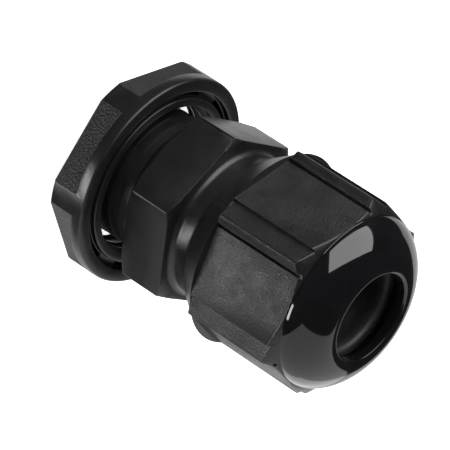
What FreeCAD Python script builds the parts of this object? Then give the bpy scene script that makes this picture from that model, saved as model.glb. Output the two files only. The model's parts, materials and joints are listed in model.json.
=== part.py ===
"""Nylon cable gland, M20 x 1.5: body with claw, rubber insert, domed sealing nut and locknut.

+Z runs along the cable towards the dome. The origin is on the axis, in the hexagon's face that seals on the
panel. All lengths are millimetres and all angles are degrees.
"""

import FreeCAD, Part
import math
import os

import Sketcher

SIZES = {
    "thread_pitch": 1.5,
    "entry_crest_radius": 9.9,
    "entry_root_radius": 9.05,
    "entry_length": 10.0,
    "spigot_radius": 10.2,
    "spigot_length": 0.9,
    "entry_bore_radius": 6.9,
    "hex_flats": 22.1,
    "hex_height": 6.8,
    "hex_corner_radius": 12.7,
    "hex_face_radius": 11.7,
    "hex_chamfer": 0.6,
    "neck_radius": 9.75,
    "neck_fillet": 0.9,
    "upper_thread_start": 10.0,
    "upper_crest_radius": 10.35,
    "upper_root_radius": 9.8,
    "upper_thread_end": 17.5,
    "claw_rim_height": 18.1,
    "cup_radius": 8.35,
    "cup_floor": 13.0,
    "finger_foot": 18.35,
    "finger_top": 26.6,
    "finger_inner_radius": 8.25,
    "finger_outer_radius": 9.6,
    "finger_angle": 19.0,
    "insert_outer_radius": 8.05,
    "insert_inner_radius": 6.15,
    "insert_foot": 13.15,
    "insert_top": 28.4,
    "insert_lip": 0.7,
    "nut_rear": 10.1,
    "nut_rear_radius": 10.75,
    "nut_bore_radius": 10.5,
    "nut_groove_radius": 11.1,
    "nut_thread_end": 19.3,
    "nut_collar_radius": 13.25,
    "nut_flats": 24.0,
    "nut_flats_start": 13.6,
    "nut_lip_radius": 13.75,
    "nut_shoulder": 26.0,
    "dome_start": 27.15,
    "dome_radius": 11.85,
    "dome_front": 31.3,
    "dome_front_radius": 6.9,
    "mouth_radius": 6.1,
    "mouth_edge": 31.1,
    "mouth_land": 29.9,
    "cone_start": 24.3,
    "cone_end": 29.5,
    "cone_end_radius": 7.55,
    "grip_groove_start": 3.92,
    "grip_groove_end": 4.3,
    "grip_groove_depth": 0.45,
    "grip_strip_height": 12.2,
    "grip_lip_height": 12.62,
    "grip_lip_side": 5.44,
    "grip_channel_height": 10.46,
    "grip_channel_side": 7.29,
    "grip_flat_end": 5.62,
    "locknut_rear": 9.6,
    "locknut_front": 4.2,
    "locknut_flats": 26.3,
    "locknut_hex_end": 5.87,
    "flange_radius": 14.4,
    "flange_chamfer": 0.2,
    "recess_outer_radius": 12.6,
    "hub_radius": 11.65,
    "hub_front": 4.4,
    "locknut_bore_radius": 10.05,
    "locknut_groove_radius": 10.6,
    "recess_depth": 0.9,
    "pocket_depth": 3.4,
    "pocket_angle": 25.0,
    "pocket_inner_radius": 11.8,
    "pocket_outer_radius": 12.45,
}
FINGER_COUNT = 12
HEX_SIDES = 6
POCKET_COUNT = 8
LOCKNUT_TURN = 11.6
HEX_TURN = -10.9
NUT_TURN = -32.4
# How the dome rounds off: 1 is a plain quarter ellipse, more is flatter.
DOME_POWER = 1.25
SHEET = "Sizes"


class Size:
    """A length that carries its value and the spreadsheet formula that gives it."""

    def __init__(self, formula, value):
        self.formula = formula
        self.value = value

    def joined(self, sign, other, value):
        """The Size of this one and another, or a number, joined by an arithmetic sign."""
        text = other.formula if isinstance(other, Size) else str(other)
        return Size(f"({self.formula} {sign} {text})", value)

    def __add__(self, other):
        return self.joined("+", other, self.value + number(other))

    def __sub__(self, other):
        return self.joined("-", other, self.value - number(other))

    def __mul__(self, other):
        return self.joined("*", other, self.value * number(other))

    def __truediv__(self, other):
        return self.joined("/", other, self.value / number(other))

    def __neg__(self):
        return Size(f"(0 - {self.formula})", -self.value)


def number(length):
    """The plain value of a Size or a number."""
    return length.value if isinstance(length, Size) else length


def size(name):
    """The Size of one named cell of the sheet."""
    return Size(f"{SHEET}.{name}", SIZES[name])


def fill_sheet(doc):
    """Writes each driving dimension into the sheet, with its alias."""
    sheet = doc.addObject("Spreadsheet::Sheet", SHEET)
    for row, (name, value) in enumerate(SIZES.items(), start=1):
        sheet.set(f"A{row}", name)
        sheet.set(f"B{row}", str(value))
        sheet.setAlias(f"B{row}", name)
    doc.recompute()


def new_body(doc, label):
    body = doc.addObject("PartDesign::Body", label)
    body.Label = label
    return body


def new_sketch(body, role, lift=None):
    """A sketch on one of the body's origin planes, lifted along its normal by a Size."""
    sketch = body.newObject("Sketcher::SketchObject", f"{body.Label}_sketch")
    plane = next(item for item in body.Origin.OriginFeatures if item.Role == role)
    sketch.AttachmentSupport = [(plane, "")]
    sketch.MapMode = "FlatFace"
    if lift is not None:
        sketch.setExpression(".AttachmentOffset.Base.z", lift.formula)
        sketch.AttachmentOffset = FreeCAD.Placement(
            FreeCAD.Vector(0, 0, lift.value), FreeCAD.Rotation()
        )
    return sketch


def bind(sketch, kind, geometry, value):
    """Adds a driving constraint and binds it to the sheet."""
    index = sketch.addConstraint(Sketcher.Constraint(kind, *geometry, number(value)))
    if isinstance(value, Size):
        sketch.setExpression(f"Constraints[{index}]", value.formula)


def pin(sketch, line, end, point):
    """Pins one end of a line to the coordinates of a point."""
    bind(sketch, "DistanceX", (line, end), point[0])
    bind(sketch, "DistanceY", (line, end), point[1])


def polygon(sketch, points):
    """A closed outline of straight lines, each corner pinned to its own coordinates."""
    vectors = [FreeCAD.Vector(number(x), number(y), 0) for x, y in points]
    first = sketch.GeometryCount
    for start, end in zip(vectors, vectors[1:] + vectors[:1]):
        sketch.addGeometry(Part.LineSegment(start, end), False)
    count = len(points)
    for i, point in enumerate(points):
        following = first + (i + 1) % count
        sketch.addConstraint(Sketcher.Constraint("Coincident", first + i, 2, following, 1))
        pin(sketch, first + i, 1, point)


def circle(sketch, radius):
    """A circle about the sketch's origin."""
    centre = FreeCAD.Vector(0, 0, 0)
    shape = Part.Circle(centre, FreeCAD.Vector(0, 0, 1), number(radius))
    ring = sketch.addGeometry(shape, False)
    sketch.addConstraint(Sketcher.Constraint("Coincident", ring, 3, -1, 1))
    bind(sketch, "Radius", (ring,), radius)


def revolve(body, points, angle=None):
    """Turns a closed outline of radius and height points about the body's Z axis."""
    sketch = new_sketch(body, "XZ_Plane")
    polygon(sketch, points)
    turned = body.newObject("PartDesign::Revolution", f"{body.Label}_turned")
    turned.Profile = sketch
    turned.ReferenceAxis = (sketch, ["V_Axis"])
    turned.Angle = 360.0
    if angle is not None:
        turned.Midplane = True
        turned.setExpression("Angle", angle.formula)
    body.Tip = turned
    return turned


def cut_upwards(body, sketch, height):
    """Pockets a sketch upwards, and stops the build if nothing was removed."""
    before = body.Shape.Volume
    pocket = body.newObject("PartDesign::Pocket", f"{body.Label}_cut")
    pocket.Profile = sketch
    pocket.Reversed = True
    pocket.setExpression("Length", height.formula)
    body.Tip = pocket
    body.Document.recompute()
    if body.Shape.Volume > before - 1.0:
        raise RuntimeError(f"a cut in {body.Label} removed nothing")
    return pocket


def around(points, turn):
    """Repeats a list of flat-wise points on each side of the hexagon, turned by an angle in degrees.

    A point is (height above the axis, distance along the side). Both are Sizes.
    """
    repeated = []
    for side in range(HEX_SIDES):
        angle = math.radians(turn + 360.0 / HEX_SIDES * side)
        cosine = round(math.cos(angle), 9)
        sine = round(math.sin(angle), 9)
        for height, along in points:
            repeated.append((height * cosine - along * sine, height * sine + along * cosine))
    return repeated


def hexagon(flats, turn):
    """The corners of a hexagon with that size across its flats."""
    half = flats / 2
    return around([(half, half * round(math.tan(math.radians(30)), 9))], turn)


def thread_rings(bottom, top, crest, root, pitch, outward):
    """The zigzag outline of a thread, drawn as rings from the bottom to the top."""
    turns = int((top.value - bottom.value) / pitch.value)
    sign = 1 if outward else -1
    flank = (crest - root) * (0.6 * sign)
    points = []
    for turn in range(turns):
        low = bottom + pitch * turn
        points += [(crest, low), (crest, low + pitch * 0.2)]
        points += [(root, low + pitch * 0.2 + flank), (root, low + pitch - flank)]
    points.append((crest, bottom + pitch * turns))
    return points


def make_gland_body(doc):
    """Body: hollow entry thread, spanner hexagon, neck, upper thread and cup for the insert."""
    body = new_body(doc, "gland_body")
    foot = -size("entry_length")
    hex_top = size("hex_height")
    bevel = size("hex_chamfer")
    neck = size("neck_radius")
    fillet = size("neck_fillet")
    outline = [(size("entry_bore_radius"), foot), (size("entry_root_radius"), foot)]
    outline += thread_rings(
        foot + 0.4,
        -size("spigot_length"),
        size("entry_crest_radius"),
        size("entry_root_radius"),
        size("thread_pitch"),
        True,
    )
    outline += [
        (size("spigot_radius"), -size("spigot_length")),
        (size("spigot_radius"), 0),
        (size("hex_face_radius"), 0),
        (size("hex_corner_radius"), bevel),
        (size("hex_corner_radius"), hex_top - bevel * 0.5),
        (size("hex_face_radius"), hex_top),
        (neck + fillet, hex_top),
        (neck + fillet * 0.35, hex_top + fillet * 0.35),
        (neck, hex_top + fillet),
        (neck + 0.05, size("upper_thread_start") - 0.7),
    ]
    outline += thread_rings(
        size("upper_thread_start"),
        size("upper_thread_end"),
        size("upper_crest_radius"),
        size("upper_root_radius"),
        size("thread_pitch"),
        True,
    )
    outline += [
        (size("finger_outer_radius"), size("claw_rim_height")),
        (size("cup_radius"), size("claw_rim_height")),
        (size("cup_radius"), size("cup_floor")),
        (size("entry_bore_radius"), size("cup_floor")),
    ]
    revolve(body, outline)
    doc.recompute()
    sketch = new_sketch(body, "XY_Plane")
    circle(sketch, size("hex_corner_radius") + 2)
    polygon(sketch, hexagon(size("hex_flats"), HEX_TURN))
    cut_upwards(body, sketch, size("hex_height"))
    return body


def make_finger(doc, index):
    """One lamella finger of the claw, bevelled outside to follow the nut's inner cone."""
    body = new_body(doc, f"claw_finger_{index + 1:02d}")
    inner = size("finger_inner_radius")
    outer = size("finger_outer_radius")
    top = size("finger_top")
    outline = [
        (inner, size("finger_foot")),
        (outer, size("finger_foot")),
        (outer, top - 2.4),
        (outer - 0.9, top),
        (inner, top),
    ]
    revolve(body, outline, size("finger_angle"))
    turn = FreeCAD.Rotation(FreeCAD.Vector(0, 0, 1), 360.0 / FINGER_COUNT * index)
    body.Placement = FreeCAD.Placement(FreeCAD.Vector(0, 0, 0), turn)
    return body


def make_insert(doc):
    """Rubber sealing insert: a thick sleeve with rounded lips."""
    body = new_body(doc, "sealing_insert")
    inner = size("insert_inner_radius")
    outer = size("insert_outer_radius")
    lip = size("insert_lip")
    outline = [
        (inner + lip, size("insert_foot")),
        (outer, size("insert_foot")),
        (outer, size("insert_top") - lip),
        (outer - lip * 0.4, size("insert_top") - lip * 0.2),
        (outer - lip, size("insert_top")),
        (inner + lip, size("insert_top")),
        (inner + lip * 0.2, size("insert_top") - lip * 0.4),
        (inner, size("insert_top") - lip),
        (inner, size("insert_foot") + lip),
    ]
    revolve(body, outline)
    return body


def dome_outline():
    """The glossy nose, from the shoulder round to the cable mouth."""
    start = size("dome_start")
    height = size("dome_front") - start
    width = size("dome_radius") - size("dome_front_radius")
    steps = 8
    points = []
    for step in range(steps + 1):
        angle = math.radians(90.0 * step / steps)
        reach = size("dome_front_radius") + width * round(abs(math.cos(angle)) ** DOME_POWER, 9)
        points.append((reach, start + height * round(math.sin(angle) ** DOME_POWER, 9)))
    lip = size("dome_front_radius") - size("mouth_radius")
    drop = size("dome_front") - size("mouth_edge")
    for step in range(1, steps // 2 + 1):
        angle = math.radians(90.0 * step / (steps // 2))
        reach = size("mouth_radius") + lip * round(1 - math.sin(angle), 9)
        points.append((reach, size("mouth_edge") + drop * round(math.cos(angle), 9)))
    return points


def make_dome_nut(doc):
    """Domed sealing nut: threaded skirt, six flats with grip channels, inner cone and round mouth."""
    body = new_body(doc, "dome_nut")
    bore = size("nut_bore_radius")
    outline = [
        (size("nut_rear_radius"), size("nut_rear")),
        (size("nut_collar_radius"), size("nut_flats_start")),
        (size("nut_lip_radius"), size("nut_flats_start")),
        (size("nut_lip_radius"), size("nut_shoulder")),
        (size("dome_radius") + 0.15, size("dome_start")),
    ]
    outline += dome_outline()
    outline += [
        (size("mouth_radius"), size("mouth_land")),
        (size("cone_end_radius"), size("cone_end")),
        (bore, size("cone_start")),
    ]
    thread = thread_rings(
        size("nut_rear") + 1.0,
        size("nut_thread_end"),
        bore,
        size("nut_groove_radius"),
        size("thread_pitch"),
        False,
    )
    outline += reversed(thread)
    outline.append((bore, size("nut_rear") + 0.3))
    revolve(body, outline)
    doc.recompute()
    sketch = new_sketch(body, "XY_Plane", size("nut_flats_start"))
    circle(sketch, size("nut_lip_radius") + 2)
    polygon(sketch, around(grip_side(), NUT_TURN))
    cut_upwards(body, sketch, size("dome_start") - size("nut_flats_start"))
    return body


def grip_side():
    """One side of the nut, from its corner's channel over the lip, the strip and the groove to the flat."""
    flat = size("nut_flats") / 2
    depth = size("grip_groove_depth")
    return [
        (size("grip_channel_height"), -size("grip_channel_side")),
        (size("grip_lip_height"), -size("grip_lip_side")),
        (size("grip_strip_height"), -size("grip_groove_end")),
        (flat - depth, -size("grip_groove_end")),
        (flat - depth, -size("grip_groove_start")),
        (flat, -size("grip_groove_start")),
        (flat, size("grip_flat_end")),
    ]


def sector(sketch, inner, outer, angle):
    """A closed arc-shaped slot between two radii, centred on the sketch's X axis."""
    half = math.radians(angle.value / 2)
    centre = FreeCAD.Vector(0, 0, 0)
    axis = FreeCAD.Vector(0, 0, 1)
    ends = []
    for radius in (inner, outer):
        shape = Part.Circle(centre, axis, number(radius))
        arc = sketch.addGeometry(Part.ArcOfCircle(shape, -half, half), False)
        sketch.addConstraint(Sketcher.Constraint("Coincident", arc, 3, -1, 1))
        bind(sketch, "Radius", (arc,), radius)
        ends.append(arc)
    for end, sign in ((1, -1), (2, 1)):
        ray = FreeCAD.Vector(math.cos(half), sign * math.sin(half), 0)
        line = sketch.addGeometry(Part.LineSegment(ray * number(inner), ray * number(outer)), False)
        sketch.addConstraint(Sketcher.Constraint("Coincident", line, 1, ends[0], end))
        sketch.addConstraint(Sketcher.Constraint("Coincident", line, 2, ends[1], end))
        bind(sketch, "DistanceY", (line, 1), inner * round(sign * math.sin(half), 9))
        bind(sketch, "DistanceY", (line, 2), outer * round(sign * math.sin(half), 9))


def make_locknut(doc):
    """Locknut: hexagon with turned corners, thin flange, threaded hub and eight core-out pockets."""
    body = new_body(doc, "locknut")
    rear = -size("locknut_rear")
    front = -size("locknut_front")
    bore = size("locknut_bore_radius")
    flange = size("flange_radius")
    edge = size("flange_chamfer")
    recess = front - size("recess_depth")
    outline = [
        (bore + 0.4, rear),
        (flange - edge, rear),
        (flange, rear + edge),
        (flange, front - edge),
        (flange - edge, front),
        (size("recess_outer_radius"), front),
        (size("recess_outer_radius"), recess),
        (size("hub_radius"), recess),
        (size("hub_radius"), -size("hub_front")),
        (bore + 0.25, -size("hub_front")),
    ]
    thread = thread_rings(
        rear + 0.4,
        -size("hub_front"),
        bore,
        size("locknut_groove_radius"),
        size("thread_pitch"),
        False,
    )
    outline += reversed(thread)
    revolve(body, outline)
    doc.recompute()
    sketch = new_sketch(body, "XY_Plane", rear)
    circle(sketch, flange + 2)
    polygon(sketch, hexagon(size("locknut_flats"), LOCKNUT_TURN))
    cut_upwards(body, sketch, size("locknut_rear") - size("locknut_hex_end"))
    for place in range(POCKET_COUNT):
        cut_pocket(body, LOCKNUT_TURN + 360.0 / POCKET_COUNT * place)
    return body


def cut_pocket(body, turn):
    """One core-out pocket in the floor of the locknut's recess."""
    sketch = new_sketch(body, "XY_Plane", -size("locknut_front") - size("pocket_depth"))
    sector(sketch, size("pocket_inner_radius"), size("pocket_outer_radius"), size("pocket_angle"))
    lift = -SIZES["locknut_front"] - SIZES["pocket_depth"]
    spin = FreeCAD.Rotation(FreeCAD.Vector(0, 0, 1), turn)
    sketch.AttachmentOffset = FreeCAD.Placement(FreeCAD.Vector(0, 0, lift), spin)
    cut_upwards(body, sketch, size("pocket_depth"))


def check(doc, bodies):
    """Stops the build if any object failed or any sub-part isn't one valid solid."""
    doc.recompute()
    failed = [item.Name for item in doc.Objects if {"Invalid", "Error"} & set(item.State)]
    if failed:
        raise RuntimeError(f"failed objects: {failed}")
    for body in bodies:
        shape = body.Shape
        if shape.isNull() or not shape.isValid() or len(shape.Solids) != 1:
            raise RuntimeError(f"{body.Label} isn't one valid solid")


def main():
    doc = FreeCAD.newDocument("cable_gland")
    fill_sheet(doc)
    bodies = [make_gland_body(doc), make_insert(doc), make_dome_nut(doc), make_locknut(doc)]
    bodies += [make_finger(doc, index) for index in range(FINGER_COUNT)]
    check(doc, bodies)
    os.makedirs("parts", exist_ok=True)
    for body in bodies:
        body.Shape.exportStep(f"parts/{body.Label}.step")
        print(f"{body.Label}: {body.Shape.Volume:.0f} mm3")


main()
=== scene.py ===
"""Looks of a nylon cable gland: gland body, claw, sealing insert, domed nut and flanged locknut.

The cable axis is +Z, towards the dome. Sizes in the classes are millimetres and meshes are metres.
"""

import json
import logging
import math
from collections.abc import Callable, Sequence
from dataclasses import dataclass, field
from enum import Enum

import bpy
from mathutils import Matrix, Vector

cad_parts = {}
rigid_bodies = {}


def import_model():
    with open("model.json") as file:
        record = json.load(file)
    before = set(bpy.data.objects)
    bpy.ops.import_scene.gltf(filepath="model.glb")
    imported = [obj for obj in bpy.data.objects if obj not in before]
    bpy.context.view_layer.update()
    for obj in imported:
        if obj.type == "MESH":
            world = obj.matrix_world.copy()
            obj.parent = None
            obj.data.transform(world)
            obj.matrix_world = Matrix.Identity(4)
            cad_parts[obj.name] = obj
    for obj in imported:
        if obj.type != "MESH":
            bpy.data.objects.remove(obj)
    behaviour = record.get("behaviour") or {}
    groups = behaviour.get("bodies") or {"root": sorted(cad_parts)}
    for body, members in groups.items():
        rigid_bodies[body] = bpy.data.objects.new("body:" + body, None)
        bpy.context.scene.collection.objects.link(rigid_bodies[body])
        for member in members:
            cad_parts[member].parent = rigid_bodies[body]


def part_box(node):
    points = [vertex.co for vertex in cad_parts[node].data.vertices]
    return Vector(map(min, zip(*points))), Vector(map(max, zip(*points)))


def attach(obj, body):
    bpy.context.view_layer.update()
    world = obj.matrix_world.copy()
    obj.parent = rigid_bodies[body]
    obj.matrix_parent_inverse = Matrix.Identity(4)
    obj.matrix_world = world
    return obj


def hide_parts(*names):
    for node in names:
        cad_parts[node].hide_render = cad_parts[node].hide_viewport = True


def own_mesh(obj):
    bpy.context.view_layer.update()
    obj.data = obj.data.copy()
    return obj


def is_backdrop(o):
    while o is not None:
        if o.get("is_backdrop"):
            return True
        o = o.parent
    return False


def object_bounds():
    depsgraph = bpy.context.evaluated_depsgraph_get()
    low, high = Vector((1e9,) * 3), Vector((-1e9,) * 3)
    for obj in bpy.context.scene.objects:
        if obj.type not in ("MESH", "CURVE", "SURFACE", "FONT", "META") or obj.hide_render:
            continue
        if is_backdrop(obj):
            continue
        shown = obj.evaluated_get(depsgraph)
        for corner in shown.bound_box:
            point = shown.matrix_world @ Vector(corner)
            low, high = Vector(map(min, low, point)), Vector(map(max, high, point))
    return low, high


MM = 0.001
FULL_TURN = 2.0 * math.pi
LOG = logging.getLogger("cable_gland")

Point = tuple[float, float]


class Surface(Enum):
    """The moulded finishes of the gland, in the order of a piece's material slots."""

    SATIN = "satin"
    SPARK = "spark"
    GLOSS = "gloss"
    RUBBER = "rubber"


class Cut(Enum):
    """How a tool changes the piece it is used on."""

    KEEP_COMMON = "INTERSECT"
    REMOVE = "DIFFERENCE"
    ADD = "UNION"


@dataclass(frozen=True)
class MouldedFinish:
    """One moulded finish, with its colour, gloss and surface relief.

    Lengths are millimetres. Relief heights are how far the surface rises over one grain.
    """

    name: str
    shade: tuple[float, float, float]
    roughness: tuple[float, float]
    grain: float
    grain_height: float
    pit: float
    pit_height: float
    swell: float
    swell_height: float
    dust: float
    coat: float = 0.0

    def material(self) -> bpy.types.Material:
        """Builds the finish as a node material.

        Returns:
            The new material.
        """
        made = bpy.data.materials.new(self.name)
        made.use_nodes = True
        tree = made.node_tree
        shader = tree.nodes["Principled BSDF"]
        place = tree.nodes.new("ShaderNodeTexCoord").outputs["Object"]
        grain = self.noise(tree, place, self.grain, 4.0)
        patches = self.noise(tree, place, 2.6, 3.0)
        self.set_colour(tree, shader, patches, place)
        self.set_roughness(tree, shader, grain, patches)
        self.set_relief(tree, shader, grain, place)
        shader.inputs["IOR"].default_value = 1.52
        if self.coat > 0.0:
            shader.inputs["Coat Weight"].default_value = self.coat
            shader.inputs["Coat Roughness"].default_value = 0.03
        return made

    @staticmethod
    def noise(
        tree: bpy.types.NodeTree, place: bpy.types.NodeSocket, length: float, detail: float
    ) -> bpy.types.NodeSocket:
        """Adds a noise of a given feature size.

        Args:
            tree: The material's nodes.
            place: The coordinates it reads.
            length: The size of one feature.
            detail: How many finer layers it has.

        Returns:
            The noise's value, from 0 to 1.
        """
        node = tree.nodes.new("ShaderNodeTexNoise")
        node.inputs["Scale"].default_value = 1.0 / (length * MM)
        node.inputs["Detail"].default_value = detail
        node.inputs["Roughness"].default_value = 0.62
        tree.links.new(place, node.inputs["Vector"])
        return node.outputs["Fac"]

    @staticmethod
    def spread(
        tree: bpy.types.NodeTree, value: bpy.types.NodeSocket, low: Point, high: Point
    ) -> bpy.types.NodeSocket:
        """Maps a value from one range to another.

        Args:
            tree: The material's nodes.
            value: The value to map.
            low: The bottom of the range before and after.
            high: The top of the range before and after.

        Returns:
            The mapped value.
        """
        node = tree.nodes.new("ShaderNodeMapRange")
        node.inputs["From Min"].default_value = low[0]
        node.inputs["From Max"].default_value = high[0]
        node.inputs["To Min"].default_value = low[1]
        node.inputs["To Max"].default_value = high[1]
        tree.links.new(value, node.inputs["Value"])
        return node.outputs["Result"]

    def set_colour(
        self,
        tree: bpy.types.NodeTree,
        shader: bpy.types.ShaderNode,
        patches: bpy.types.NodeSocket,
        place: bpy.types.NodeSocket,
    ) -> None:
        """Colours the surface, with faint patches and a few specks of pale dust.

        Args:
            tree: The material's nodes.
            shader: The surface shader.
            patches: The slow variation over the piece.
            place: The coordinates the dust reads.
        """
        ramp = tree.nodes.new("ShaderNodeValToRGB")
        ramp.color_ramp.elements[0].position = 0.3
        ramp.color_ramp.elements[1].position = 0.75
        ramp.color_ramp.elements[0].color = (*[c * 0.8 for c in self.shade], 1.0)
        ramp.color_ramp.elements[1].color = (*[c * 1.3 for c in self.shade], 1.0)
        tree.links.new(patches, ramp.inputs["Fac"])
        cells = tree.nodes.new("ShaderNodeTexVoronoi")
        cells.inputs["Scale"].default_value = 1.0 / (1.9 * MM)
        tree.links.new(place, cells.inputs["Vector"])
        speck = self.spread(tree, cells.outputs["Distance"], (0.028, self.dust), (0.05, 0.0))
        mix = tree.nodes.new("ShaderNodeMix")
        mix.data_type = "RGBA"
        mix.inputs["B"].default_value = (0.16, 0.16, 0.165, 1.0)
        tree.links.new(speck, mix.inputs["Factor"])
        tree.links.new(ramp.outputs["Color"], mix.inputs["A"])
        tree.links.new(mix.outputs["Result"], shader.inputs["Base Color"])

    def set_roughness(
        self,
        tree: bpy.types.NodeTree,
        shader: bpy.types.ShaderNode,
        grain: bpy.types.NodeSocket,
        patches: bpy.types.NodeSocket,
    ) -> None:
        """Varies the roughness with the grain and, more slowly, over the piece.

        Args:
            tree: The material's nodes.
            shader: The surface shader.
            grain: The fine grain.
            patches: The slow variation over the piece.
        """
        add = tree.nodes.new("ShaderNodeMath")
        add.operation = "ADD"
        tree.links.new(grain, add.inputs[0])
        tree.links.new(patches, add.inputs[1])
        rough = self.spread(
            tree, add.outputs[0], (0.75, self.roughness[0]), (1.25, self.roughness[1])
        )
        tree.links.new(rough, shader.inputs["Roughness"])

    def set_relief(
        self,
        tree: bpy.types.NodeTree,
        shader: bpy.types.ShaderNode,
        grain: bpy.types.NodeSocket,
        place: bpy.types.NodeSocket,
    ) -> None:
        """Raises the grain, the spark pits and the slow swell of the moulding.

        Args:
            tree: The material's nodes.
            shader: The surface shader.
            grain: The fine grain.
            place: The coordinates the pits and the swell read.
        """
        cells = tree.nodes.new("ShaderNodeTexVoronoi")
        cells.feature = "SMOOTH_F1"
        cells.inputs["Scale"].default_value = 1.0 / (self.pit * MM)
        cells.inputs["Smoothness"].default_value = 0.4
        tree.links.new(place, cells.inputs["Vector"])
        swell = self.noise(tree, place, self.swell, 1.0)
        layers = (
            (swell, self.swell_height),
            (cells.outputs["Distance"], self.pit_height),
            (grain, self.grain_height),
        )
        normal = None
        for value, height in layers:
            bump = tree.nodes.new("ShaderNodeBump")
            bump.inputs["Distance"].default_value = height * MM
            tree.links.new(value, bump.inputs["Height"])
            if normal is not None:
                tree.links.new(normal, bump.inputs["Normal"])
            normal = bump.outputs["Normal"]
        tree.links.new(normal, shader.inputs["Normal"])


FINISHES = {
    Surface.SATIN: MouldedFinish(
        name="nylon_satin",
        shade=(0.005, 0.005, 0.0055),
        roughness=(0.28, 0.40),
        grain=0.11,
        grain_height=0.008,
        pit=0.5,
        pit_height=0.003,
        swell=3.5,
        swell_height=0.010,
        dust=0.12,
    ),
    Surface.SPARK: MouldedFinish(
        name="nylon_spark",
        shade=(0.006, 0.006, 0.0065),
        roughness=(0.36, 0.54),
        grain=0.14,
        grain_height=0.045,
        pit=0.26,
        pit_height=0.035,
        swell=4.0,
        swell_height=0.006,
        dust=0.10,
    ),
    Surface.GLOSS: MouldedFinish(
        name="nylon_gloss",
        shade=(0.003, 0.003, 0.0034),
        roughness=(0.04, 0.08),
        grain=0.2,
        grain_height=0.0003,
        pit=0.9,
        pit_height=0.0003,
        swell=2.2,
        swell_height=0.002,
        dust=0.06,
    ),
    Surface.RUBBER: MouldedFinish(
        name="seal_rubber",
        shade=(0.010, 0.010, 0.0105),
        roughness=(0.48, 0.62),
        grain=0.16,
        grain_height=0.012,
        pit=0.4,
        pit_height=0.006,
        swell=2.0,
        swell_height=0.010,
        dust=0.3,
    ),
}


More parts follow.
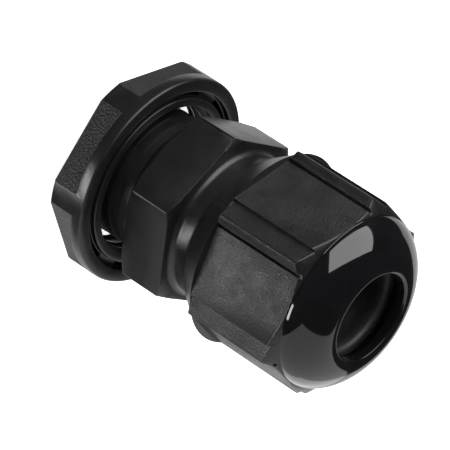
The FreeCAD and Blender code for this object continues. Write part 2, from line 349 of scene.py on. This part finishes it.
class Bench:
    """The modelling moves that the pieces share."""

    @staticmethod
    def clear() -> None:
        """Leaves edit mode and deselects everything."""
        if bpy.context.object is not None and bpy.context.object.mode != "OBJECT":
            bpy.ops.object.mode_set(mode="OBJECT")
        bpy.ops.object.select_all(action="DESELECT")

    @staticmethod
    def take(piece: bpy.types.Object) -> None:
        """Selects one piece alone and makes it active.

        Args:
            piece: The piece to work on.
        """
        Bench.clear()
        piece.select_set(True)
        bpy.context.view_layer.objects.active = piece

    @staticmethod
    def line(points: Sequence[Point], across: bool) -> bpy.types.Object:
        """Draws a closed outline by extruding a point from corner to corner.

        Args:
            points: The corners, in millimetres.
            across: True for an outline across the axis, False for one of radius and height.

        Returns:
            The outline, in edit mode, all selected.
        """
        places = [Vector((a, b, 0.0)) * MM if across else Vector((a, 0.0, b)) * MM for a, b in points]
        Bench.clear()
        bpy.ops.mesh.primitive_plane_add(size=MM)
        outline = bpy.context.object
        bpy.ops.object.mode_set(mode="EDIT")
        bpy.ops.mesh.select_all(action="SELECT")
        bpy.ops.mesh.merge(type="CENTER")
        bpy.ops.transform.translate(value=places[0])
        for start, end in zip(places, places[1:] + places[:1]):
            bpy.ops.mesh.extrude_vertices_move(TRANSFORM_OT_translate={"value": end - start})
        bpy.ops.mesh.select_all(action="SELECT")
        bpy.ops.mesh.remove_doubles(threshold=MM * 0.001)
        return outline

    @staticmethod
    def close_up() -> None:
        """Merges doubles and turns all faces outwards, then leaves edit mode."""
        bpy.ops.mesh.select_all(action="SELECT")
        bpy.ops.mesh.remove_doubles(threshold=MM * 0.002)
        bpy.ops.mesh.normals_make_consistent(inside=False)
        bpy.ops.object.mode_set(mode="OBJECT")

    @staticmethod
    def turned(points: Sequence[Point], steps: int) -> bpy.types.Object:
        """Spins a closed outline of radius and height into a ring-shaped solid.

        Args:
            points: The outline's corners.
            steps: How many segments go round.

        Returns:
            The solid.
        """
        ring = Bench.line(points, across=False)
        bpy.ops.mesh.spin(steps=steps, angle=FULL_TURN, center=(0.0, 0.0, 0.0), axis=(0.0, 0.0, 1.0))
        Bench.close_up()
        return ring

    @staticmethod
    def arc_block(points: Sequence[Point], centre: float, angle: float, steps: int) -> bpy.types.Object:
        """Spins a closed outline through part of a turn and closes its two ends.

        Args:
            points: The outline's corners of radius and height.
            centre: The direction of the block's middle, in degrees.
            angle: How far it reaches round, in degrees.
            steps: How many segments it has.

        Returns:
            The solid.
        """
        block = Bench.line(points, across=False)
        Bench.turn_selection(centre - angle / 2.0)
        bpy.ops.mesh.edge_face_add()
        bpy.ops.mesh.spin(
            steps=steps, angle=math.radians(angle), center=(0.0, 0.0, 0.0), axis=(0.0, 0.0, 1.0)
        )
        Bench.close_up()
        Bench.face_outwards(block)
        return block

    @staticmethod
    def turn_selection(degrees: float) -> None:
        """Turns what is selected in edit mode about the cable axis.

        Args:
            degrees: The turn, anticlockwise seen from the dome.
        """
        turn = Matrix.Rotation(math.radians(degrees), 4, "Z")
        mesh = bpy.context.object
        bpy.ops.object.mode_set(mode="OBJECT")
        mesh.data.transform(turn)
        bpy.ops.object.mode_set(mode="EDIT")
        bpy.ops.mesh.select_all(action="SELECT")

    @staticmethod
    def face_outwards(piece: bpy.types.Object) -> None:
        """Turns a closed piece right side out if its volume came out negative.

        Args:
            piece: The piece to check.
        """
        corners = piece.data.vertices
        volume = 0.0
        for face in piece.data.polygons:
            first = corners[face.vertices[0]].co
            for second, third in zip(face.vertices[1:], face.vertices[2:]):
                volume += first.dot(corners[second].co.cross(corners[third].co))
        if volume < 0.0:
            Bench.take(piece)
            bpy.ops.object.mode_set(mode="EDIT")
            bpy.ops.mesh.select_all(action="SELECT")
            bpy.ops.mesh.flip_normals()
            bpy.ops.object.mode_set(mode="OBJECT")

    @staticmethod
    def prism(points: Sequence[Point], low: float, high: float) -> bpy.types.Object:
        """Fills a closed outline and pushes it up into a block.

        Args:
            points: The outline's corners across the axis.
            low: The block's lower end.
            high: The block's upper end.

        Returns:
            The block.
        """
        block = Bench.line(points, across=True)
        bpy.ops.transform.translate(value=(0.0, 0.0, low * MM))
        bpy.ops.mesh.edge_face_add()
        bpy.ops.mesh.extrude_region_move(
            TRANSFORM_OT_translate={"value": (0.0, 0.0, (high - low) * MM)}
        )
        Bench.close_up()
        return block

    @staticmethod
    def use(piece: bpy.types.Object, tool: bpy.types.Object, cut: Cut) -> None:
        """Uses a tool on a piece, and puts the tool away.

        Args:
            piece: The piece that changes.
            tool: The tool.
            cut: What the tool does.
        """
        Bench.take(piece)
        change = piece.modifiers.new("cut", "BOOLEAN")
        change.operation = cut.value
        change.solver = "EXACT"
        change.object = tool
        bpy.ops.object.modifier_apply(modifier=change.name)
        bpy.data.objects.remove(tool, do_unlink=True)

    @staticmethod
    def soften(piece: bpy.types.Object, width: float, edge: float) -> None:
        """Rounds the sharp edges as a mould leaves them, and smooths the shading.

        Args:
            piece: The piece to finish.
            width: The width of the rounding.
            edge: The smallest angle of an edge that is rounded, in degrees.
        """
        Bench.take(piece)
        bpy.ops.object.mode_set(mode="EDIT")
        bpy.ops.mesh.select_all(action="SELECT")
        bpy.ops.mesh.remove_doubles(threshold=MM * 0.015)
        bpy.ops.object.mode_set(mode="OBJECT")
        bevel = piece.modifiers.new("edges", "BEVEL")
        bevel.width = width * MM
        bevel.segments = 2
        bevel.limit_method = "ANGLE"
        bevel.angle_limit = math.radians(edge)
        bevel.use_clamp_overlap = False
        bpy.ops.object.modifier_apply(modifier=bevel.name)
        bpy.ops.object.shade_smooth_by_angle(angle=math.radians(30.0))
        weigh = piece.modifiers.new("shading", "WEIGHTED_NORMAL")
        weigh.keep_sharp = True
        weigh.weight = 80
        bpy.ops.object.modifier_apply(modifier=weigh.name)

    @staticmethod
    def helix(outline: Sequence[Point], pitch: float, turns: float, start: float) -> bpy.types.Object:
        """Sweeps a closed outline along a right-hand helix into a thread's ridge.

        Args:
            outline: The ridge's corners of radius and height, at its lower end.
            pitch: The rise in one turn.
            turns: How many turns it has.
            start: The direction of its lower end, in degrees.

        Returns:
            The ridge, closed at both ends.
        """
        ridge = Bench.line(outline, across=False)
        Bench.turn_selection(start)
        bpy.ops.object.mode_set(mode="OBJECT")
        sweep = ridge.modifiers.new("sweep", "SCREW")
        sweep.axis = "Z"
        sweep.angle = FULL_TURN * turns
        sweep.screw_offset = pitch * turns * MM
        sweep.steps = int(96 * turns)
        sweep.render_steps = sweep.steps
        sweep.use_merge_vertices = False
        bpy.ops.object.modifier_apply(modifier=sweep.name)
        bpy.ops.object.mode_set(mode="EDIT")
        bpy.ops.mesh.select_all(action="SELECT")
        bpy.ops.mesh.fill_holes(sides=0)
        Bench.close_up()
        Bench.face_outwards(ridge)
        return ridge

    @staticmethod
    def dress(piece: bpy.types.Object, choose: Callable[[bpy.types.MeshPolygon], Surface]) -> None:
        """Gives each face of a piece its finish.

        Args:
            piece: The piece to dress.
            choose: Says which finish a face has.
        """
        piece.data.materials.clear()
        slots: dict[Surface, int] = {}
        for face in piece.data.polygons:
            surface = choose(face)
            if surface not in slots:
                slots[surface] = len(slots)
                piece.data.materials.append(MATERIALS[surface])
            face.material_index = slots[surface]


MATERIALS: dict[Surface, bpy.types.Material] = {}


def hexagon(flats: float, turn: float) -> list[Point]:
    """Finds the corners of a hexagon.

    Args:
        flats: The size across its flats.
        turn: The direction of one flat's middle, in degrees.

    Returns:
        The six corners.
    """
    reach = flats / 2.0 / math.cos(math.radians(30.0))
    angles = [math.radians(turn + 30.0 + 60.0 * side) for side in range(6)]
    return [(reach * math.cos(angle), reach * math.sin(angle)) for angle in angles]


def arc(centre: Point, reach: Point, first: float, last: float, steps: int) -> list[Point]:
    """Finds points along an elliptical arc.

    Args:
        centre: The ellipse's centre.
        reach: Its half-widths along radius and height.
        first: The first point's angle, in degrees.
        last: The last point's angle, in degrees.
        steps: How many pieces the arc has.

    Returns:
        The points, both ends included.
    """
    angles = [math.radians(first + (last - first) * step / steps) for step in range(steps + 1)]
    return [(centre[0] + reach[0] * math.cos(a), centre[1] + reach[1] * math.sin(a)) for a in angles]


def span(node: str) -> tuple[float, float, float]:
    """Reads a node's place along the axis and its reach from it.

    Args:
        node: The node's name.

    Returns:
        Its lowest height, its highest height and its largest radius across, in millimetres.
    """
    low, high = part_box(node)
    return low[2] / MM, high[2] / MM, max(high[0], high[1]) / MM


@dataclass
class GlandBody:
    """The gland body: entry thread, spigot collar, spanner hexagon, neck, upper thread and cup."""

    flats: float = 22.1
    turn: float = -10.9
    corner: float = 12.72
    bore: float = 6.9
    root: float = 9.05
    crest: float = 9.9
    pitch: float = 1.5
    collar: Point = (10.2, 0.9)
    hexagon_height: float = 6.8
    neck: float = 9.75
    rim: Point = (10.42, 10.1)
    upper_root: float = 9.8
    upper_crest: float = 10.35
    cup: Point = (8.35, 13.0)

    def profile(self, foot: float, top: float) -> list[Point]:
        """Draws half of the body's section.

        Args:
            foot: The height of the entry's end.
            top: The height of the claw's rim.

        Returns:
            The section's outline, from the entry's bore outwards and up.
        """
        height = self.hexagon_height
        fillet = 0.9
        outline = [(self.bore, foot + 0.4), (self.bore + 0.4, foot)]
        outline += [(self.root - 0.5, foot), (self.root, foot + 0.5)]
        outline += [(self.root, -self.collar[1] - 0.5), (self.root + 0.45, -self.collar[1])]
        outline += [(self.collar[0] - 0.2, -self.collar[1]), (self.collar[0], -self.collar[1] + 0.2)]
        outline += [(self.collar[0], 0.0), (11.65, 0.0), (self.corner, 0.62)]
        outline += [(self.corner, height - 0.35), (11.8, height)]
        outline += arc((self.neck + fillet, height + fillet), (fillet, fillet), 270.0, 180.0, 8)
        outline += [(self.neck + 0.02, 9.1), (self.neck + 0.12, 9.45), (self.neck + 0.34, 9.75)]
        outline += [(self.rim[0] - 0.1, self.rim[1] - 0.1), self.rim, (self.rim[0] - 0.1, self.rim[1] + 0.14)]
        outline += [(self.upper_root, self.rim[1] + 0.5), (self.upper_root, top - 0.6)]
        outline += [(self.upper_root - 0.2, top), (self.cup[0] + 0.1, top), (self.cup[0], top - 0.1)]
        outline += [self.cup, (self.bore + 0.2, self.cup[1]), (self.bore, self.cup[1] - 0.2)]
        return outline

    def ridge(self, root: float, crest: float, low: float) -> list[Point]:
        """Draws the section of one thread ridge at its lower end.

        Args:
            root: The radius between the ridges.
            crest: The radius over the ridge.
            low: The height where the ridge starts.

        Returns:
            The outline, sunk a little into the root.
        """
        half = self.pitch * 0.43
        tip = self.pitch * 0.09
        return [
            (root - 0.12, low),
            (root, low),
            (crest, low + half - tip),
            (crest, low + half + tip),
            (root, low + 2.0 * half),
            (root - 0.12, low + 2.0 * half),
        ]

    def build(self) -> bpy.types.Object:
        """Models the body.

        Returns:
            The finished piece.
        """
        foot, top, _ = span("gland_body")
        body = Bench.turned(self.profile(foot, top), 240)
        Bench.use(body, Bench.prism(hexagon(self.flats, self.turn), foot - 5.0, top + 5.0), Cut.KEEP_COMMON)
        Bench.soften(body, 0.13, 24.0)
        entry = self.ridge(self.root, self.crest, foot + 0.15)
        Bench.use(body, Bench.helix(entry, self.pitch, 5.0, 200.0), Cut.ADD)
        upper = self.ridge(self.upper_root, self.upper_crest, self.rim[1] + 0.55)
        Bench.use(body, Bench.helix(upper, self.pitch, 4.0, 20.0), Cut.ADD)
        Bench.take(body)
        bpy.ops.object.shade_smooth_by_angle(angle=math.radians(30.0))
        body.name = "gland_body_moulding"
        Bench.dress(body, lambda face: Surface.SATIN)
        return body


@dataclass
class DomeNut:
    """The domed sealing nut: collar, six flats with grip channels, glossy dome and cable mouth."""

    flats: float = 24.0
    turn: float = -32.4
    rear_radius: float = 10.75
    bore: float = 10.5
    thread_wall: float = 11.15
    pitch: float = 1.5
    collar: float = 13.25
    flats_start: float = 3.5
    lip: float = 13.75
    shoulder: float = 15.9
    dome_start: float = 17.05
    dome_radius: float = 11.85
    front_radius: float = 6.9
    dome_power: float = 1.25
    edge_drop: float = 0.2
    mouth: float = 6.1
    cone_end: Point = (7.55, 19.4)
    cone_start: float = 14.2
    groove: Point = (3.92, 4.3)
    groove_depth: float = 0.45
    strip: float = 12.2
    lip_corner: Point = (12.62, 5.44)
    channel: Point = (10.46, 7.29)
    flat_end: float = 5.62
    rear: float = 0.0

    def side(self) -> list[Point]:
        """Draws one side of the nut: channel, lip, raised strip, groove and flat.

        Returns:
            Height and distance along the side, going anticlockwise.
        """
        flat = self.flats / 2.0
        deep = flat - self.groove_depth
        return [
            (self.channel[0], -self.channel[1]),
            (self.lip_corner[0] - 0.16, -self.lip_corner[1] - 0.3),
            (self.lip_corner[0], -self.lip_corner[1]),
            (self.strip, -self.groove[1]),
            (deep, -self.groove[1]),
            (deep, -self.groove[0]),
            (flat, -self.groove[0]),
            (flat, self.flat_end),
        ]

    def outline(self) -> list[Point]:
        """Draws the nut's outline across the axis.

        Returns:
            The corners of all six sides.
        """
        corners = []
        for side in range(6):
            angle = math.radians(self.turn + 60.0 * side)
            cosine, sine = math.cos(angle), math.sin(angle)
            corners += [(h * cosine - s * sine, h * sine + s * cosine) for h, s in self.side()]
        return corners

    def profile(self, rear: float, front: float) -> list[Point]:
        """Draws half of the nut's section.

        Args:
            rear: The height of the skirt's end.
            front: The height of the dome's front.

        Returns:
            The section's outline, from the skirt over the dome into the mouth.
        """
        start = rear + self.dome_start
        edge = front - self.edge_drop
        outline = [(self.rear_radius - 0.12, rear), (self.rear_radius + 0.1, rear + 0.06)]
        outline += [(self.collar, rear + self.flats_start), (self.lip, rear + self.flats_start)]
        outline += [(self.lip, rear + self.shoulder), (self.dome_radius + 0.22, start - 0.06)]
        outline += [(self.dome_radius + 0.06, start)]
        width, height = self.dome_radius - self.front_radius, front - start
        dome = [
            (self.front_radius + width * max(x, 0.0) ** self.dome_power, start + height * y**self.dome_power)
            for x, y in arc((0.0, 0.0), (1.0, 1.0), 0.0, 90.0, 40)
        ]
        inward = arc((self.front_radius, edge), (self.mouth - self.front_radius, front - edge), 90.0, 0.0, 18)
        outline += dome + inward[1:]
        outline += [(self.mouth, edge - 1.2), (self.cone_end[0], rear + self.cone_end[1])]
        outline += [(self.bore, rear + self.cone_start), (self.bore, rear + 10.0)]
        outline += [(self.thread_wall, rear + 9.6), (self.thread_wall, rear + 0.8), (self.bore, rear + 0.3)]
        return outline

    def thread(self, low: float) -> list[Point]:
        """Draws the section of the inner thread's ridge.

        Args:
            low: The height where the ridge starts.

        Returns:
            The outline, sunk a little into the wall.
        """
        wall = self.thread_wall
        return [
            (wall + 0.1, low),
            (wall + 0.1, low + 1.2),
            (wall, low + 1.2),
            (self.bore, low + 0.72),
            (self.bore, low + 0.48),
            (wall, low),
        ]

    def choose(self, face: bpy.types.MeshPolygon) -> Surface:
        """Says which finish one face of the nut has.

        Args:
            face: The face.

        Returns:
            Gloss on the dome, spark on the flats and channels, satin elsewhere.
        """
        height = face.center.z / MM - self.rear
        reach = math.hypot(face.center.x, face.center.y) / MM
        outside = reach > self.mouth - 0.2 and height > self.dome_start - 0.35
        if outside and reach < self.dome_radius + 0.12 and not (reach < 10.6 and height < 19.0):
            return Surface.GLOSS
        if abs(face.normal.z) < 0.2 and reach > 11.4 and self.flats_start < height < self.dome_start:
            return Surface.SPARK
        return Surface.SATIN

    def build(self) -> bpy.types.Object:
        """Models the nut.

        Returns:
            The finished piece.
        """
        rear, front, _ = span("dome_nut")
        self.rear = rear
        nut = Bench.turned(self.profile(rear, front), 288)
        start = rear + self.flats_start
        tool = Bench.prism(self.outline(), start - 1.0, front + 5.0)
        skirt = Bench.prism(hexagon(44.0, 0.0), rear - 5.0, start)
        Bench.use(tool, skirt, Cut.ADD)
        Bench.use(nut, tool, Cut.KEEP_COMMON)
        Bench.soften(nut, 0.09, 24.0)
        Bench.use(nut, Bench.helix(self.thread(rear + 1.0), self.pitch, 5.0, 80.0), Cut.ADD)
        Bench.take(nut)
        bpy.ops.object.shade_smooth_by_angle(angle=math.radians(30.0))
        nut.name = "dome_nut_moulding"
        Bench.dress(nut, self.choose)
        return nut


@dataclass
class Locknut:
    """The locknut: hexagon with turned corners, thin flange, threaded hub and core-out pockets."""

    flats: float = 26.3
    turn: float = 11.6
    flange: float = 14.4
    hexagon_end: float = 3.73
    recess: float = 12.6
    recess_depth: float = 0.9
    hub: float = 11.65
    hub_drop: float = 0.2
    bore: float = 10.05
    thread_wall: float = 10.65
    pitch: float = 1.5
    pockets: int = 8
    pocket_angle: float = 25.0
    pocket_reach: Point = (11.8, 12.45)
    pocket_depth: float = 3.4

    def profile(self, rear: float, front: float) -> list[Point]:
        """Draws half of the locknut's section.

        Args:
            rear: The height of the hexagon's rear face.
            front: The height of the flange's face.

        Returns:
            The section's outline, from the bore outwards and up.
        """
        hub = front - self.hub_drop
        outline = [(self.bore + 0.1, rear + 0.5), (self.bore + 0.65, rear)]
        outline += [(self.flange - 0.15, rear), (self.flange, rear + 0.15)]
        outline += [(self.flange, front - 0.25), (self.flange - 0.12, front - 0.06), (self.flange - 0.3, front)]
        outline += [(self.recess + 0.1, front), (self.recess, front - 0.12)]
        outline += [(self.recess, front - self.recess_depth), (self.hub, front - self.recess_depth)]
        outline += [(self.hub, hub - 0.12), (self.hub - 0.12, hub), (self.bore + 0.4, hub)]
        outline += [(self.thread_wall, hub - 0.6), (self.thread_wall, rear + 0.9)]
        return outline

    def thread(self, low: float) -> list[Point]:
        """Draws the section of the inner thread's ridge.

        Args:
            low: The height where the ridge starts.

        Returns:
            The outline, sunk a little into the wall.
        """
        wall = self.thread_wall
        return [
            (wall + 0.1, low),
            (wall + 0.1, low + 1.2),
            (wall, low + 1.2),
            (self.bore, low + 0.7),
            (self.bore, low + 0.5),
            (wall, low),
        ]

    def choose(self, face: bpy.types.MeshPolygon) -> Surface:
        """Says which finish one face of the locknut has.

        Args:
            face: The face.

        Returns:
            Spark on the six flats, satin elsewhere.
        """
        angle = math.degrees(math.atan2(face.normal.y, face.normal.x)) - self.turn
        off = (angle + 30.0) % 60.0 - 30.0
        reach = math.hypot(face.center.x, face.center.y) / MM
        if abs(face.normal.z) < 0.1 and abs(off) < 1.0 and reach > 13.0 and face.area > 2.0 * MM * MM:
            return Surface.SPARK
        return Surface.SATIN

    def build(self) -> bpy.types.Object:
        """Models the locknut.

        Returns:
            The finished piece.
        """
        rear, front, _ = span("locknut")
        nut = Bench.turned(self.profile(rear, front), 240)
        end = rear + self.hexagon_end
        tool = Bench.prism(hexagon(self.flats, self.turn), rear - 5.0, end + 0.5)
        Bench.use(tool, Bench.prism(hexagon(44.0, 0.0), end, front + 5.0), Cut.ADD)
        Bench.use(nut, tool, Cut.KEEP_COMMON)
        floor = front - self.pocket_depth
        inner, outer = self.pocket_reach
        section = [(inner, floor), (outer, floor), (outer, front + 0.5), (inner, front + 0.5)]
        for place in range(self.pockets):
            centre = self.turn + 360.0 / self.pockets * place
            Bench.use(nut, Bench.arc_block(section, centre, self.pocket_angle, 16), Cut.REMOVE)
        Bench.soften(nut, 0.1, 24.0)
        Bench.use(nut, Bench.helix(self.thread(rear + 0.7), self.pitch, 2.2, 140.0), Cut.ADD)
        Bench.take(nut)
        bpy.ops.object.shade_smooth_by_angle(angle=math.radians(30.0))
        nut.name = "locknut_moulding"
        Bench.dress(nut, self.choose)
        return nut


@dataclass
class SealingInsert:
    """The rubber sleeve round the cable, with sealing ribs inside and rounded lips."""

    inner: float = 6.15
    outer: float = 8.05
    lip: float = 0.7
    ribs: int = 5
    rib_height: float = 0.3
    travel: float = 3.0

    def profile(self, foot: float, top: float) -> list[Point]:
        """Draws half of the sleeve's section.

        Args:
            foot: The height of the lower lip.
            top: The height of the upper lip.

        Returns:
            The section's outline.
        """
        lip = self.lip
        outline = [(self.inner + lip, foot), (self.outer - 0.2, foot), (self.outer, foot + 0.2)]
        outline += arc((self.outer - lip, top - lip), (lip, lip), 0.0, 90.0, 6)
        outline += arc((self.inner + lip, top - lip), (lip, lip), 90.0, 180.0, 6)
        pitch = (top - foot - 4.0 * lip) / self.ribs
        for rib in range(self.ribs):
            high = top - 2.0 * lip - rib * pitch
            outline += [(self.inner, high), (self.inner + self.rib_height, high - pitch * 0.3)]
            outline += [(self.inner + self.rib_height, high - pitch * 0.7)]
        outline += [(self.inner, foot + 1.9 * lip), (self.inner, foot + lip)]
        return outline

    def build(self) -> bpy.types.Object:
        """Models the sleeve.

        Returns:
            The finished piece.
        """
        foot, top, _ = span("sealing_insert")
        sleeve = Bench.turned(self.profile(foot, top), 128)
        Bench.soften(sleeve, 0.06, 30.0)
        sleeve.name = "sealing_insert_sleeve"
        Bench.dress(sleeve, lambda face: Surface.RUBBER)
        return sleeve


@dataclass
class Claw:
    """The lamella fingers round the insert, moulded once and copied round the rim."""

    count: int = 12
    inner: float = 8.25
    outer: float = 9.6
    angle: float = 19.0
    bevel: Point = (0.9, 2.4)
    fingers: list[bpy.types.Object] = field(default_factory=list)

    def profile(self, foot: float, top: float) -> list[Point]:
        """Draws the section of one finger.

        Args:
            foot: The height of its root.
            top: The height of its tip.

        Returns:
            The section's outline, with a thinned root and a grip tooth inside.
        """
        return [
            (self.inner + 0.25, foot),
            (self.outer - 0.3, foot),
            (self.outer, foot + 0.9),
            (self.outer, top - self.bevel[1]),
            (self.outer - self.bevel[0], top),
            (self.inner, top),
            (self.inner, top - 1.2),
            (self.inner + 0.2, top - 1.6),
            (self.inner + 0.2, foot + 1.4),
            (self.inner + 0.25, foot + 1.0),
        ]

    def build(self) -> list[bpy.types.Object]:
        """Models the fingers.

        Returns:
            One finished piece for each finger, in the order of the nodes.
        """
        foot, top, _ = span("claw_finger_01")
        first = Bench.arc_block(self.profile(foot, top), 0.0, self.angle, 10)
        Bench.soften(first, 0.08, 30.0)
        Bench.dress(first, lambda face: Surface.SATIN)
        first.name = "claw_finger_blade_01"
        self.fingers.append(first)
        for place in range(1, self.count):
            Bench.take(first)
            bpy.ops.object.duplicate(linked=False)
            blade = bpy.context.object
            blade.data.transform(Matrix.Rotation(FULL_TURN / self.count * place, 4, "Z"))
            blade.name = f"claw_finger_blade_{place + 1:02d}"
            self.fingers.append(blade)
        return self.fingers


@dataclass(frozen=True)
class Panel:
    """One soft light panel, placed by the camera's right, up and back directions, in metres."""

    name: str
    place: tuple[float, float, float]
    size: tuple[float, float]
    power: float


@dataclass
class Studio:
    """The pale floor, the soft lights and the camera."""

    eye: tuple[float, float, float] = (0.40702, 0.04361, 0.24678)
    right: tuple[float, float, float] = (-0.36347, -0.58719, 0.72325)
    up: tuple[float, float, float] = (0.36298, -0.80426, -0.47054)
    back: tuple[float, float, float] = (0.85798, 0.09149, 0.50546)
    lens: float = 306.3
    floor_radius: float = 4.0
    panels: tuple[Panel, ...] = (
        Panel("window", (0.62, 0.50, 0.56), (1.15, 0.95), 15.0),
        Panel("left_strip", (-0.92, -0.16, 0.36), (0.34, 0.9), 12.0),
        Panel("table_glow", (-0.05, -0.75, -0.2), (1.7, 1.5), 7.0),
        Panel("backdrop", (-0.1, 0.0, -1.0), (2.3, 1.9), 12.0),
    )

    def axes(self) -> Matrix:
        """Gives the camera's directions as the columns of a matrix."""
        return Matrix((self.right, self.up, self.back)).transposed()

    def add_camera(self) -> None:
        """Places the camera."""
        data = bpy.data.cameras.new("view")
        data.lens = self.lens
        data.sensor_width = 36.0
        data.clip_start = 0.01
        data.clip_end = 50.0
        camera = bpy.data.objects.new("view", data)
        bpy.context.scene.collection.objects.link(camera)
        camera.matrix_world = Matrix.Translation(self.eye) @ self.axes().to_4x4()
        bpy.context.scene.camera = camera

    def add_floor(self, height: float) -> bpy.types.Object:
        """Makes the round floor with a wall that curves up round it.

        Args:
            height: The floor's height, in metres.

        Returns:
            The floor.
        """
        Bench.clear()
        bpy.ops.mesh.primitive_circle_add(
            vertices=96, radius=self.floor_radius, fill_type="NGON", location=(0.0, 0.0, height)
        )
        floor = bpy.context.object
        floor.name = "floor"
        bpy.ops.object.transform_apply(location=True, rotation=False, scale=False)
        bpy.ops.object.mode_set(mode="EDIT")
        bpy.ops.mesh.select_mode(type="EDGE")
        bpy.ops.mesh.select_all(action="SELECT")
        for rise, widen in ((0.15, 1.09), (0.35, 1.06), (0.8, 1.03), (3.0, 1.0)):
            bpy.ops.mesh.region_to_loop()
            bpy.ops.mesh.extrude_edges_move(TRANSFORM_OT_translate={"value": (0.0, 0.0, rise)})
            bpy.ops.transform.resize(value=(widen, widen, 1.0), center_override=(0.0, 0.0, 0.0))
            bpy.ops.mesh.select_linked()
        bpy.ops.mesh.select_mode(type="VERT")
        bpy.ops.object.mode_set(mode="OBJECT")
        bpy.ops.object.shade_smooth_by_angle(angle=math.radians(60.0))
        floor.data.materials.append(self.floor_material())
        floor.visible_glossy = False
        floor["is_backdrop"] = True
        return floor

    @staticmethod
    def floor_material() -> bpy.types.Material:
        """Makes the pale, evenly lit floor.

        Returns:
            The new material.
        """
        made = bpy.data.materials.new("pale_floor")
        made.use_nodes = True
        shader = made.node_tree.nodes["Principled BSDF"]
        shader.inputs["Base Color"].default_value = (0.8, 0.8, 0.8, 1.0)
        shader.inputs["Roughness"].default_value = 0.9
        shader.inputs["Emission Color"].default_value = (1.0, 1.0, 1.0, 1.0)
        shader.inputs["Emission Strength"].default_value = 0.85
        return made

    def add_lights(self, centre: Vector) -> None:
        """Places the light panels round the object and the faint light between them.

        Args:
            centre: The middle of the object, in metres.
        """
        axes = self.axes()
        for panel in self.panels:
            data = bpy.data.lights.new(panel.name, "AREA")
            data.shape = "RECTANGLE"
            data.size, data.size_y = panel.size
            data.energy = panel.power
            light = bpy.data.objects.new(panel.name, data)
            bpy.context.scene.collection.objects.link(light)
            away = axes @ Vector(panel.place)
            light.matrix_world = Matrix.Translation(centre + away) @ away.to_track_quat(
                "Z", "Y"
            ).to_matrix().to_4x4()
            light.visible_camera = False
        world = bpy.data.worlds.new("room")
        bpy.context.scene.world = world
        world.use_nodes = True
        world.node_tree.nodes["Background"].inputs["Color"].default_value = (0.9, 0.93, 1.0, 1.0)
        world.node_tree.nodes["Background"].inputs["Strength"].default_value = 0.04

    def build(self, low: Vector, high: Vector) -> None:
        """Sets up the studio round the object.

        Args:
            low: The object's lowest corner, in metres.
            high: The object's highest corner, in metres.
        """
        self.add_camera()
        self.add_floor(low.z - 0.0005)
        self.add_lights((low + high) / 2.0)
        bpy.context.scene.view_settings.view_transform = "Standard"


def place(piece: bpy.types.Object, body: str, node: str, slot: str) -> None:
    """Ties a finished piece to its body, hides the node it stands for, and reports it.

    Args:
        piece: The finished piece.
        body: The body it rides on.
        node: The node it stands for.
        slot: The record's material slot; not used.
    """
    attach(piece, body)
    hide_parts(node)
    LOG.info("%s: %d faces on %s", piece.name, len(piece.data.polygons), body)


def main() -> None:
    """Builds the gland's pieces in order, then the studio."""
    logging.basicConfig(level=logging.INFO, format="%(name)s %(message)s")
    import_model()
    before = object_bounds()
    for surface, finish in FINISHES.items():
        MATERIALS[surface] = finish.material()
    place(GlandBody().build(), "gland_body", "gland_body", "nylon_satin")
    place(Locknut().build(), "locknut", "locknut", "nylon_spark")
    place(DomeNut().build(), "dome_nut", "dome_nut", "nylon_gloss")
    insert = SealingInsert()
    sleeve = insert.build()
    place(sleeve, "gland_body", "sealing_insert", "rubber")
    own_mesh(sleeve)
    for number, blade in enumerate(Claw().build(), start=1):
        node = f"claw_finger_{number:02d}"
        place(blade, node, node, "nylon_satin")
    Bench.clear()
    Studio().build(before[0], before[1])


if __name__ == "__main__":
    main()
